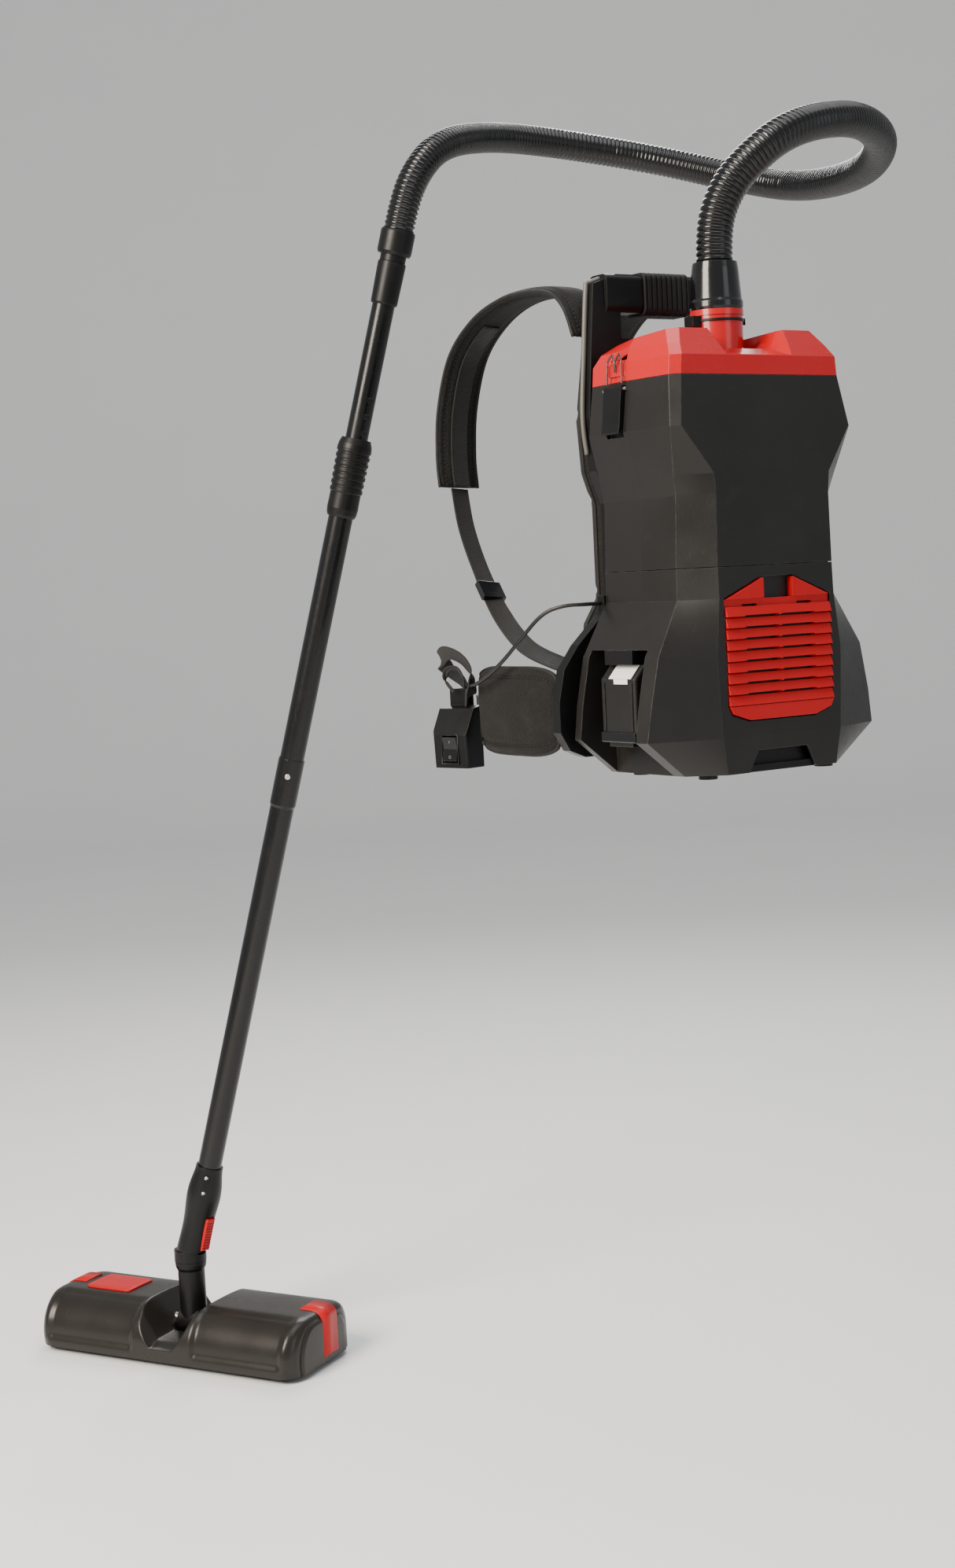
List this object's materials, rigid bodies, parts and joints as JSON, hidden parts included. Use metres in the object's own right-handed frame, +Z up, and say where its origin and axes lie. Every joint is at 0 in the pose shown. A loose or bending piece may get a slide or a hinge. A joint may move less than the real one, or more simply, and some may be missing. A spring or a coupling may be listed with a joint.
{
  "type": "backpack vacuum cleaner",
  "caption": "Battery backpack vacuum cleaner on a padded harness, with a corrugated hose, a straight telescopic wand and a powered floor head on a jointed neck.",
  "frame": {"origin": "centre of the harness pad face that lies on the wearer's back, level with the seam of the two shells", "axes": "+Z up, +Y the way the wearer faces, -X the wearer's left"},
  "size_m": [1.0315, 1.2628, 1.7978],
  "materials": {
    "charcoal_shell": "fine spark texture",
    "black_plastic": "satin",
    "black_gloss": "polished",
    "head_shell": "satin",
    "black_rubber": "matt",
    "zinc_steel": "plated",
    "spring_steel": "dark wire",
    "filter_paper": "plain",
    "filter_foam": "open foam",
    "motor_can": "cast",
    "circuit_board": "green",
    "black_cable": "smooth",
    "pad_fabric": "air mesh",
    "webbing": "ribbed weave",
    "red_gloss": "glossy",
    "red_plastic": "satin",
    "hose_black": "corrugated",
    "grey_plastic": "satin",
    "battery_case": "satin",
    "black_tube": "anodised black",
    "brush_bristle": "nylon bristle"
  },
  "bodies": {
    "pack": {"upper_shell": "charcoal_shell", "lower_shell": "charcoal_shell", "base_plate": "black_plastic", "base_screws": "zinc_steel", "latch_pins": "zinc_steel", "dust_bag": "filter_paper", "motor_filter": "filter_foam", "motor": "motor_can", "exhaust_filter": "filter_paper", "control_board": "circuit_board", "battery_dock": "black_plastic", "cable_clip": "black_plastic", "switch_lead": "black_cable", "harness_frame": "black_plastic", "handle_grip": "black_rubber", "back_pad": "pad_fabric", "hip_pad_left": "pad_fabric", "hip_pad_right": "pad_fabric", "belt_webbing_left": "webbing", "belt_webbing_right": "webbing", "buckle_socket": "black_gloss", "buckle_plug": "black_gloss", "shoulder_strap_left": "pad_fabric", "shoulder_strap_right": "pad_fabric", "strap_webbing_left": "webbing", "strap_webbing_right": "webbing", "strap_adjusters": "black_gloss", "switch_box": "black_plastic"},
    "lid": {"lid": "red_gloss", "lid_seal": "black_rubber", "neck_clamp": "black_plastic", "hose": "hose_black", "hose_end_cuff": "black_plastic"},
    "pack_cuff": {"pack_cuff": "black_gloss"},
    "latch_lever_left": {"latch_lever_left": "black_plastic"},
    "latch_lever_right": {"latch_lever_right": "black_plastic"},
    "latch_bail_left": {"latch_bail_left": "spring_steel"},
    "latch_bail_right": {"latch_bail_right": "spring_steel"},
    "impeller": {"impeller": "grey_plastic"},
    "exhaust_grille": {"exhaust_grille": "red_plastic"},
    "battery": {"battery": "battery_case"},
    "switch_rocker": {"switch_rocker": "black_gloss"},
    "wand_upper": {"inner_tube": "black_tube", "hand_sleeve": "black_plastic"},
    "wand_lower": {"outer_tube": "black_tube", "lower_tube": "black_tube", "neck_housing": "black_plastic"},
    "length_collar": {"length_collar": "black_plastic"},
    "tube_button": {"tube_button": "zinc_steel"},
    "neck_slider": {"neck_slider": "red_plastic"},
    "lower_neck": {"lower_neck": "black_plastic"},
    "head": {"head_base": "black_plastic", "head_cover": "head_shell", "neck_pin": "zinc_steel", "head_motor": "motor_can"},
    "roller": {"roller": "brush_bristle"},
    "wheel_set": {"wheel_set": "black_rubber"},
    "head_button": {"head_button": "red_plastic"},
    "end_latch_left": {"end_latch_left": "red_plastic"},
    "end_latch_right": {"end_latch_right": "red_plastic"}
  },
  "joints": [
    {"name": "lid_lift", "type": "slide", "parent": "pack", "child": "lid", "axis": [0, 0, 1], "range_m": [0, 0.06]},
    {"name": "pack_cuff_swivel", "type": "hinge", "parent": "lid", "child": "pack_cuff", "pos_m": [0, -0.153, 0.32], "axis": [0, 0, 1], "continuous": true},
    {"name": "latch_lever_left_swing", "type": "hinge", "parent": "pack", "child": "latch_lever_left", "pos_m": [-0.131, -0.124, 0.208], "axis": [0, 1, 0], "range_deg": [0, 110]},
    {"name": "latch_lever_right_swing", "type": "hinge", "parent": "pack", "child": "latch_lever_right", "pos_m": [0.131, -0.124, 0.208], "axis": [0, -1, 0], "range_deg": [0, 110]},
    {"name": "latch_bail_left_swing", "type": "hinge", "parent": "lid", "child": "latch_bail_left", "pos_m": [-0.1278, -0.124, 0.247], "axis": [0, 1, 0], "range_deg": [0, 60]},
    {"name": "latch_bail_right_swing", "type": "hinge", "parent": "lid", "child": "latch_bail_right", "pos_m": [0.1278, -0.124, 0.247], "axis": [0, -1, 0], "range_deg": [0, 60]},
    {"name": "impeller_spin", "type": "hinge", "parent": "pack", "child": "impeller", "pos_m": [0, -0.15, -0.04], "axis": [0, 0, 1], "continuous": true},
    {"name": "grille_pull", "type": "slide", "parent": "pack", "child": "exhaust_grille", "axis": [0, -1, 0], "range_m": [0, 0.03]},
    {"name": "battery_slide", "type": "slide", "parent": "pack", "child": "battery", "axis": [0, 0, -1], "range_m": [0, 0.09]},
    {"name": "switch_rock", "type": "hinge", "parent": "pack", "child": "switch_rocker", "pos_m": [-0.19529, 0.16016, -0.211], "axis": [0.243, -0.97, 0], "range_deg": [-8, 8]},
    {"name": "wand_swivel", "type": "hinge", "parent": "lid", "child": "wand_upper", "pos_m": [-0.04571, 0.48684, 0.44459], "axis": [0.1752, -0.2009, 0.9638], "continuous": true},
    {"name": "wand_telescope", "type": "slide", "parent": "wand_upper", "child": "wand_lower", "axis": [0.1752, -0.2009, 0.9638], "range_m": [-0.0705, 0.188]},
    {"name": "collar_slide", "type": "slide", "parent": "wand_lower", "child": "length_collar", "axis": [-0.1752, 0.2009, -0.9638], "range_m": [0, 0.008], "stiffness_N_per_m": 400, "springref_m": -0.004},
    {"name": "tube_button_press", "type": "slide", "parent": "wand_lower", "child": "tube_button", "axis": [0.5517, 0.8308, 0.0729], "range_m": [0, 0.003], "stiffness_N_per_m": 800, "springref_m": -0.001},
    {"name": "neck_slider_slide", "type": "slide", "parent": "wand_lower", "child": "neck_slider", "axis": [-0.1752, 0.2009, -0.9638], "range_m": [0, 0.007]},
    {"name": "neck_swivel", "type": "hinge", "parent": "wand_lower", "child": "lower_neck", "pos_m": [-0.30729, 0.78679, -0.99439], "axis": [0, 0, 1], "continuous": true},
    {"name": "neck_pitch", "type": "hinge", "parent": "lower_neck", "child": "head", "pos_m": [-0.30729, 0.78679, -1.085], "axis": [-0.4848, 0.8746, 0], "range_deg": [-60, 15]},
    {"name": "roller_spin", "type": "hinge", "parent": "head", "child": "roller", "pos_m": [-0.35102, 0.76255, -1.105], "axis": [-0.4848, 0.8746, 0], "continuous": true},
    {"name": "wheel_spin", "type": "hinge", "parent": "head", "child": "wheel_set", "pos_m": [-0.25656, 0.81491, -1.119], "axis": [-0.4848, 0.8746, 0], "continuous": true},
    {"name": "head_button_press", "type": "slide", "parent": "head", "child": "head_button", "axis": [0, 0, -1], "range_m": [0, 0.003], "stiffness_N_per_m": 800, "springref_m": -0.002},
    {"name": "end_latch_left_slide", "type": "slide", "parent": "head", "child": "end_latch_left", "axis": [-0.4848, 0.8746, 0], "range_m": [0, 0.004]},
    {"name": "end_latch_right_slide", "type": "slide", "parent": "head", "child": "end_latch_right", "axis": [0.4848, -0.8746, 0], "range_m": [0, 0.004]}
  ]
}
